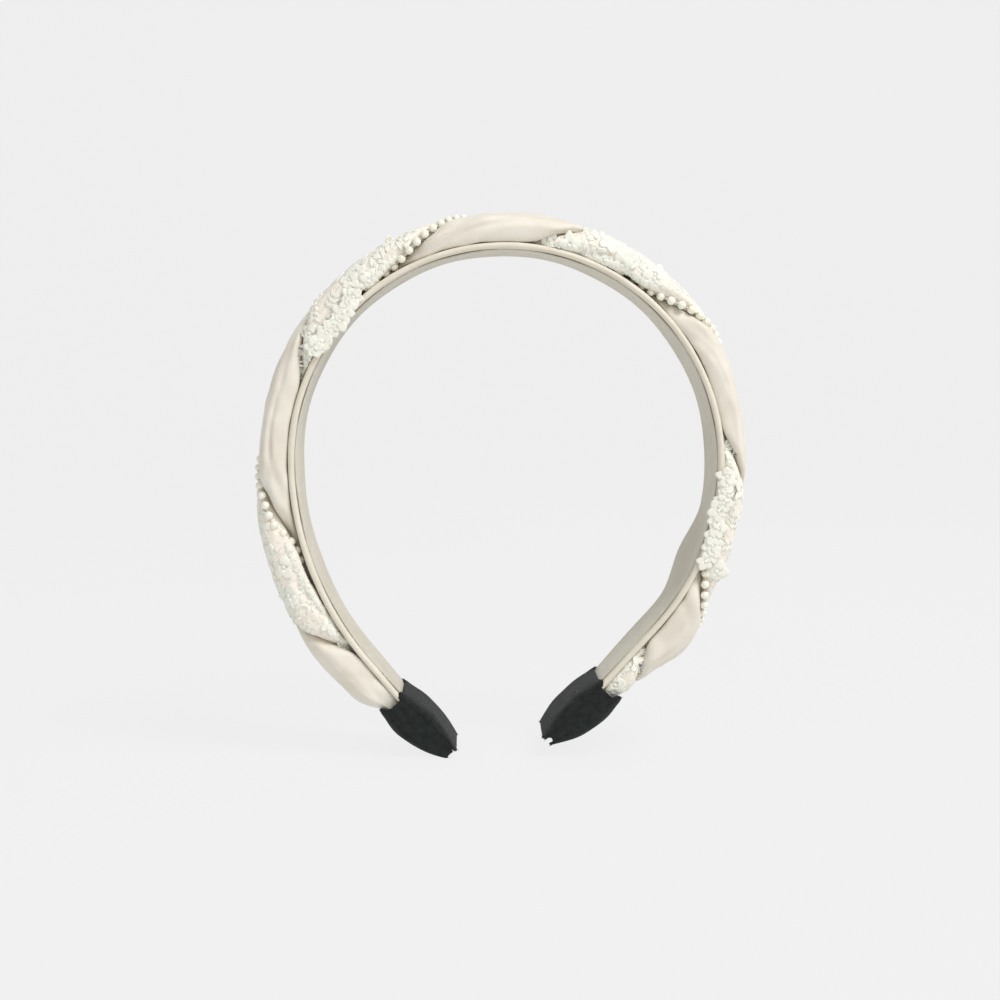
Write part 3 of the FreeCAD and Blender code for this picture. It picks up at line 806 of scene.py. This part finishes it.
def petal(length, width, start, turn, rise):
    """One petal: points (p, q, height) in the lace's plane, with the height over the cloth, and faces."""
    along, across = 5, 5
    top, low = [], []
    for i in range(along):
        t = i / (along - 1)
        reach = start + length * t
        half = width / 2 * (0.35 + 0.65 * math.sin(math.pi * min(1.0, 0.12 + 0.86 * t)) ** 0.8)
        for j in range(across):
            v = 2 * j / (across - 1) - 1
            rim = 0.4 * abs(v) ** 2 + 0.2 * t ** 3
            dome = rise * (0.45 + rim) * (1 - 0.5 * max(abs(v) - 0.6, 0) / 0.4)
            p, q = reach - 0.12 * length * v * v, half * v
            top.append((p, q, dome))
            low.append((p, q, -0.06))
    points = []
    for p, q, height in top + low:
        x, y = p * math.cos(turn) - q * math.sin(turn), p * math.sin(turn) + q * math.cos(turn)
        points.append((x, y, height))
    n = along * across
    faces = []
    for i in range(along - 1):
        for j in range(across - 1):
            a = i * across + j
            faces.append((a, a + across, a + across + 1, a + 1))
            faces.append((n + a, n + a + 1, n + a + across + 1, n + a + across))
    rim_line = list(range(across))
    rim_line += [i * across + across - 1 for i in range(1, along)]
    rim_line += [(along - 1) * across + j for j in range(across - 2, -1, -1)]
    rim_line += [i * across for i in range(along - 2, 0, -1)]
    for a, b in zip(rim_line, rim_line[1:] + rim_line[:1]):
        faces.append((a, b, n + b, n + a))
    return points, faces


def knob(radius, rise):
    """The stitched eye of a flower."""
    points, faces = [], []
    rings, around = 3, 8
    for r in range(rings):
        tilt = math.pi / 2 * r / rings
        for c in range(around):
            spin = 2 * math.pi * c / around
            points.append((radius * math.cos(tilt) * math.cos(spin), radius * math.cos(tilt) * math.sin(spin),
                           rise * math.sin(tilt)))
    points.append((0, 0, rise))
    for r in range(rings - 1):
        for c in range(around):
            d = (c + 1) % around
            faces.append((r * around + c, r * around + d, (r + 1) * around + d, (r + 1) * around + c))
    for c in range(around):
        faces.append(((rings - 1) * around + c, (rings - 1) * around + (c + 1) % around, rings * around))
    faces.append(tuple(range(around))[::-1])
    return points, faces


def joined(parts):
    points, faces = [], []
    for more, polygons in parts:
        first = len(points)
        points += more
        faces += [tuple(first + k for k in polygon) for polygon in polygons]
    return points, faces


def flower(size):
    count = RANDOM.choice([5, 5, 6])
    start = RANDOM.uniform(0, 2 * math.pi)
    parts = []
    for k in range(count):
        turn = start + 2 * math.pi * k / count + RANDOM.uniform(-0.12, 0.12)
        length = size * RANDOM.uniform(0.36, 0.5)
        width = size * RANDOM.uniform(0.4, 0.5)
        parts.append(petal(length, width, 0.08 * size, turn, RANDOM.uniform(0.16, 0.28)))
    parts.append(knob(0.09 * size, 0.3))
    return joined(parts)


def spray(size):
    """A stem with leaves on both sides."""
    heading = RANDOM.uniform(0, 2 * math.pi)
    parts = []
    for k in range(3):
        for side in (-1, 1):
            turn, rise = heading + side * 0.75, RANDOM.uniform(0.15, 0.28)
            points, faces = petal(size * 0.32, size * 0.17, 0.05 * size, turn, rise)
            shift = size * (0.24 * k - 0.35)
            points = [(p + shift * math.cos(heading), q + shift * math.sin(heading), h) for p, q, h in points]
            parts.append((points, faces))
    return joined(parts)


def fan(size, heading):
    """A scallop of short petals that spread ahead."""
    parts = []
    for k in range(5):
        turn = heading + (k - 2) * 0.5
        length = size * (0.55 - 0.06 * abs(k - 2)) * RANDOM.uniform(0.85, 1.15)
        parts.append(petal(length, size * 0.3, 0.05 * size, turn, RANDOM.uniform(0.16, 0.26)))
    return joined(parts)


LACE_NORMALS = smoothed_round(smoothed_along(grid_normals(lace_skin), 3), 3)


def laid(points, middle, along, across, normal):
    """Lace points dropped onto the cloth round a middle; those that miss it hang free."""
    placed = []
    for p, q, height in points:
        spot = middle + along * p + across * q
        start = spot + normal * LACE_START
        hit, face_normal, _, _ = PLAIT_TREE.ray_cast(Vector(start), Vector(-normal), LACE_START + FREE_DEPTH)
        away = math.hypot(p, q)
        if hit is None:
            placed.append(spot - normal * (0.1 * away * away) + normal * height)
            continue
        up = np.array(face_normal)
        up = up if np.dot(up, normal) > 0 else -up
        up = 0.5 * up + 0.5 * normal
        placed.append(np.array(hit) + up / np.linalg.norm(up) * (height + 0.05))
    return placed


def kept_above(s, placed):
    """Lace points lifted onto the ribbon wherever they would sink into the band."""
    up, floor = outward(s), place(s, 0, FACE + 0.4)
    lifted = []
    for point in placed:
        sunk = float(np.dot(floor - point, up))
        over_band = abs(point[1]) < half_width(s) + 0.8
        lifted.append(point + up * sunk if over_band and sunk > 0 else point)
    return lifted


def lace_frame(row, column):
    """The strand's surface at a grid point: its middle, two directions in it and its normal."""
    normal = LACE_NORMALS[row, column]
    normal = normal / np.linalg.norm(normal)
    along = lace_skin[min(row + 2, len(lace_skin) - 1), column] - lace_skin[max(row - 2, 0), column]
    along = along - normal * np.dot(along, normal)
    along /= np.linalg.norm(along)
    return lace_skin[row, column], along, np.cross(normal, along), normal


def open_columns(row):
    """Columns of the lace strand that face out at a row."""
    s = strand_stations[row]
    up = outward(s)
    seen = []
    for column in range(AROUND):
        normal = LACE_NORMALS[row, column]
        out = float(np.dot(normal, up))
        above = float(np.dot(lace_skin[row, column] - place(s, 0, FACE), up))
        faces_out = out > -0.35 or abs(normal[1]) > 0.7
        if lace_clear[row, column] > TOUCHING and above > LOWEST_MOTIF and faces_out:
            seen.append(column)
    return seen


def lace_middles():
    """Grid points for flowers, spread evenly over the open side of the strand."""
    chosen, spots = [], np.zeros((0, 3))
    order = [(row, column) for row in range(10, len(strand_stations) - 10) for column in open_columns(row)]
    RANDOM.shuffle(order)
    for row, column in order:
        spot = lace_skin[row, column]
        if len(spots) and np.min(np.linalg.norm(spots - spot, axis=1)) < FLOWER_SPACING:
            continue
        if np.min(np.linalg.norm(BEAD_MIDDLES - spot, axis=1)) < BEAD_CLEARANCE:
            continue
        chosen.append((row, column))
        spots = np.vstack([spots, spot])
    return chosen


def make_lace():
    points, faces, uvs = [], [], []

    def add(shape, row, column, slide=0.0):
        local, polygons = shape
        middle, along, across, normal = lace_frame(row, column)
        first = len(points)
        points.extend(kept_above(strand_stations[row], laid(local, middle, along, across, normal)))
        uvs.extend((p + slide, q) for p, q, _ in local)
        faces.extend(tuple(first + k for k in polygon) for polygon in polygons)

    for k, (row, column) in enumerate(lace_middles()):
        size = RANDOM.uniform(6.0, 8.4)
        add(flower(size) if k % 3 else spray(size * 1.1), row, column, 7.0 * k)
    for row in range(14, len(strand_stations) - 14, 3):
        columns = open_columns(row)
        if len(columns) < 6:
            continue
        gap = max(range(len(columns)), key=lambda k: (columns[k] - columns[k - 1]) % AROUND)
        ends = (columns[gap], 1), (columns[gap - 1], -1)
        for column, side in ends:
            inside = (column + 2 * side) % AROUND
            if np.min(np.linalg.norm(BEAD_MIDDLES - lace_skin[row, inside], axis=1)) < FAN_CLEARANCE:
                continue
            _, along, across, _ = lace_frame(row, inside)
            out = lace_skin[row, column] - lace_skin[row, (column + 4 * side) % AROUND]
            heading = math.atan2(np.dot(out, across), np.dot(out, along)) + RANDOM.uniform(-0.3, 0.3)
            add(fan(RANDOM.uniform(3.6, 4.8), heading), row, inside, 5.0 * row)
    for start, end in SPILLS:
        for s in np.arange(start, end, 2.6):
            up = outward(s)
            low = SPILL_HANG * float(bump(s, (start + end) / 2, 0.8 * (end - start)))
            middle = place(s, -PLAIT_HALF_WIDTH * narrowing(s) - 0.9, RANDOM.uniform(2.2, 3.6) - low)
            local, polygons = flower(RANDOM.uniform(5.5, 7.0))
            along = np.array([up[2], 0.0, -up[0]])
            first = len(points)
            for p, q, height in local:
                points.append(middle + along * p - up * q + np.array([0.0, 0.04 * q * q - height - 0.2, 0.0]))
            uvs.extend((p + 5.0 * s, q) for p, q, _ in local)
            faces.extend(tuple(first + k for k in polygon) for polygon in polygons)
    return mesh_object("lace_motifs", points, faces, LACE, uvs)


lace_motifs = make_lace()


# ---- the black sleeves ----

SLEEVE_HALF_WIDTH = TIP_HALF_WIDTH + 1.1
SLEEVE_THICKNESS = 0.6
SLEEVE_LOW = INNER_FACE - 1.15
INNER_BULGE, OUTER_BULGE = 1.7, 0.7


def sleeve_run_place(side, run, y, h):
    """A point on a sleeve, run past its mouth towards the tip."""
    return place(LEFT_MOUTH - run if side < 0 else RIGHT_MOUTH + run, y, h)


def sleeve_span(share):
    """The lowest and highest h of the sleeve's outer side at a share of its length."""
    stands_off = 4 * share * (1 - share) + 0.9 * share
    high = sleeve_rise(share) + SLEEVE_THICKNESS + OUTER_BULGE * stands_off
    return SLEEVE_LOW - INNER_BULGE * stands_off, high


def sleeve_outline(side, share, spin):
    """A point (y, h) of the sleeve's outer side at a share of its length and a turn round it."""
    low, high = sleeve_span(share)
    middle, half = (low + high) / 2, (high - low) / 2
    cos, sin = math.cos(spin), math.sin(spin)
    y = SLEEVE_HALF_WIDTH * math.copysign(abs(cos) ** 0.22, cos)
    h = middle + half * math.copysign(abs(sin) ** (0.35 + 0.3 * (1 - share)), sin)
    crease = 0.22 * math.sin(3 * spin + 9 * share + side) + 0.15 * math.sin(7 * spin - 17 * share)
    return y * (1 + 0.012 * crease), h + 0.5 * crease * (1 - abs(cos) ** 6) * 0.6


def make_sleeve(side, name):
    """A folded fabric sleeve with flared corners at its mouth and a raw, notched tip."""
    random = np.random.RandomState(5 + side)
    rows, around = 34, 96
    ragged = np.cumsum(random.uniform(-1, 1, around))
    ragged = ragged - np.linspace(ragged[0], ragged[-1], around)
    ragged = 0.16 * ragged + random.uniform(-0.12, 0.12, around)
    outer = np.zeros((rows, around, 3))
    inner = np.zeros((rows, around, 3))
    for c in range(around):
        spin = 2 * math.pi * c / around
        corner = abs(math.sin(2 * spin)) ** 0.5 if abs(math.cos(spin)) > 0.3 else 0.0
        ear = 0.9 * bump(abs(math.sin(spin)), 0.75, 0.35) * (abs(math.cos(spin)) > 0.3)
        dip = 0.9 * (1 - abs(math.sin(spin)) ** 2) * (abs(math.cos(spin)) > 0.9)
        start = -ear * 1.1 + dip + 0.05 * random.uniform(-1, 1)
        notch = 1.6 * bump(spin, math.pi * (1.08 if side < 0 else 1.0), 0.16) + 1.2 * bump(spin, 0.1, 0.12)
        end = SLEEVE_LENGTH + 1.0 + ragged[c] - notch + 0.4 * corner
        for r in range(rows):
            share = r / (rows - 1)
            run = start + (end - start) * share
            y, h = sleeve_outline(side, run / SLEEVE_LENGTH, spin)
            low, high = sleeve_span(run / SLEEVE_LENGTH)
            middle = (low + high) / 2
            flare = 1 + 0.1 * ear * float(smooth_step(-run, -2.5, 0.6))
            h = middle + (h - middle) * flare
            outer[r, c] = sleeve_run_place(side, run, y, h)
            thin = 1 - SLEEVE_THICKNESS / max(abs(high - middle), 1.0)
            inner_y = y * (1 - SLEEVE_THICKNESS / SLEEVE_HALF_WIDTH)
            inner[r, c] = sleeve_run_place(side, run, inner_y, middle + (h - middle) * thin)
    return open_tube(name, outer, inner, np.linspace(0, SLEEVE_LENGTH, rows), BLACK), outer


def make_fray(name, outer, seed):
    """Loose yarn ends along the mouth and the tip of a sleeve."""
    random = np.random.RandomState(seed)
    points, faces = [], []
    for row, inward in ((0, 1), (len(outer) - 1, -1)):
        for c in range(0, outer.shape[1], 3):
            root = outer[row, c]
            out = outer[row, c] - outer[row + 3 * inward, c]
            out = out / np.linalg.norm(out) + random.uniform(-0.6, 0.6, 3)
            length = random.uniform(0.2, 0.6)
            bend = random.uniform(-0.3, 0.3, 3)
            line = np.array([root + out * length * t + bend * t * t for t in (-0.3, 0.2, 0.6, 1.0)])
            more, quads = tube_along(line, 0.05, 5, len(points))
            points += more
            faces += quads
    return mesh_object(name, points, faces, BLACK)


left_sleeve, left_outer = make_sleeve(-1, "left_sleeve")
right_sleeve, right_outer = make_sleeve(1, "right_sleeve")
left_fray = make_fray("left_sleeve_fray", left_outer, 31)
right_fray = make_fray("right_sleeve_fray", right_outer, 32)


# ---- the bindings in the sleeves ----

BINDING_FROM_MOUTH, BINDING_TURNS, BINDING_PITCH, BINDING_INSET = 3.5, 9, 0.45, 1.0


def make_binding(side, name):
    """Thread wound round the band and the strand ends."""
    line = []
    for turn in np.arange(0, BINDING_TURNS, 1 / 48):
        run = BINDING_FROM_MOUTH + BINDING_PITCH * turn
        low, high = sleeve_span(run / SLEEVE_LENGTH)
        y, h = sleeve_outline(side, run / SLEEVE_LENGTH, 2 * math.pi * turn)
        middle = (low + high) / 2
        h = middle + (h - middle) * (1 - BINDING_INSET / (high - middle))
        line.append(sleeve_run_place(side, run, y * (1 - BINDING_INSET / SLEEVE_HALF_WIDTH), h))
    return mesh_object(name, *tube_along(np.array(line), BINDING_PITCH / 2, 6), THREAD)


left_binding = make_binding(-1, "left_binding_turns")
right_binding = make_binding(1, "right_binding_turns")


# ---- what stands for what ----

STANDS_FOR = (
    (satin_strand, "satin_strand_cover", "plait_satin"),
    (satin_wadding, "satin_strand_filling", "wadding"),
    (lace_backing, "lace_strand_backing", "backing_cloth"),
    (lace_wadding, "lace_strand_filling", "wadding"),
    (lace_motifs, "lace_strand_lace", "lace"),
    (pearl_string, "pearl_beads", "pearl"),
    (pearl_thread_plies, "pearl_thread", "thread"),
    (band_ribbon, "band_cover", "ribbon_satin"),
    (band_lining, "inner_lining", "lining_satin"),
    (left_sleeve, "left_end_sleeve", "black_fabric"),
    (right_sleeve, "right_end_sleeve", "black_fabric"),
    (left_binding, "left_end_binding", "thread"),
    (right_binding, "right_end_binding", "thread"),
)
for piece, node, finish in STANDS_FOR:
    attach(piece, "root")
    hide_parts(node)
for piece in (left_fray, right_fray):
    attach(piece, "root")

core_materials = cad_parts["core_band"].data.materials
core_materials.clear()
core_materials.append(CORE)


# ---- floor, light and camera ----

def make_floor():
    """A floor that curves up behind into a backdrop."""
    half, curve, depth, height = 4.0, 0.5, 1.6, 3.0
    profile = [(-3.0, 0.0), (depth, 0.0)]
    turns = np.linspace(0.1, math.pi / 2, 14)
    profile += [(depth + curve * math.sin(t), curve * (1 - math.cos(t))) for t in turns]
    profile += [(depth + curve, height)]
    points = [(x, y, z) for y, z in profile for x in (-half, half)]
    faces = [(2 * k, 2 * k + 1, 2 * k + 3, 2 * k + 2) for k in range(len(profile) - 1)]
    m = Material("floor")
    m.set(Roughness=1.0, Specular_IOR_Level=0.0, Emission_Color=(1.0, 1.0, 1.0, 1.0), Emission_Strength=0.825)
    m.colour([(0.4, linear(60, 60, 60)), (0.6, linear(62, 62, 62))], m.noise(0.002, 2))
    floor = mesh_object("floor", np.array(points) / MM, faces, m.material)


def area_light(name, position, target, size, power):
    light = bpy.data.lights.new(name, "AREA")
    light.shape, light.size, light.energy = "DISK", size, power
    obj = bpy.data.objects.new(name, light)
    obj.location = position
    obj.rotation_euler = (Vector(target) - Vector(position)).to_track_quat("-Z", "Y").to_euler()
    bpy.context.scene.collection.objects.link(obj)


def make_camera():
    """The view: from the front, slightly above and slightly to the left."""
    azimuth, elevation = math.radians(-1.3), math.radians(4.7)
    distance, lens, sensor = 468.0, 56.16, 36.0
    frame_pixels = 1000
    aim_right, aim_down = 5, -39    # where the crown's centre falls, from the frame's middle
    level = math.cos(elevation)
    forward = Vector((-math.sin(azimuth) * level, math.cos(azimuth) * level, -math.sin(elevation)))
    right = Vector((math.cos(azimuth), math.sin(azimuth), 0))
    up = right.cross(forward)
    step = distance * sensor / lens / frame_pixels
    aim = Vector((CENTRE_SHIFT, -CROWN_HALF_WIDTH, CENTRE_HEIGHT))
    camera = bpy.data.cameras.new("camera")
    camera.lens, camera.sensor_width = lens, sensor
    camera.clip_start, camera.clip_end = 0.01, 20
    obj = bpy.data.objects.new("camera", camera)
    obj.location = (aim - forward * distance - right * aim_right * step + up * aim_down * step) * MM
    obj.rotation_euler = forward.to_track_quat("-Z", "Y").to_euler()
    bpy.context.scene.collection.objects.link(obj)
    bpy.context.scene.camera = obj


make_floor()
TARGET = (0, 0, 0.09)
area_light("key", (0.75, -0.6, 1.3), TARGET, 0.8, 16.5)
area_light("fill", (0.4, -1.7, 0.7), TARGET, 1.4, 4)
world = bpy.data.worlds.new("world")
world.use_nodes = True
world.node_tree.nodes["Background"].inputs["Color"].default_value = (1, 1, 1, 1)
world.node_tree.nodes["Background"].inputs["Strength"].default_value = 0.5
bpy.context.scene.world = world
bpy.context.scene.view_settings.view_transform = "Standard"
make_camera()

bpy.context.view_layer.update()
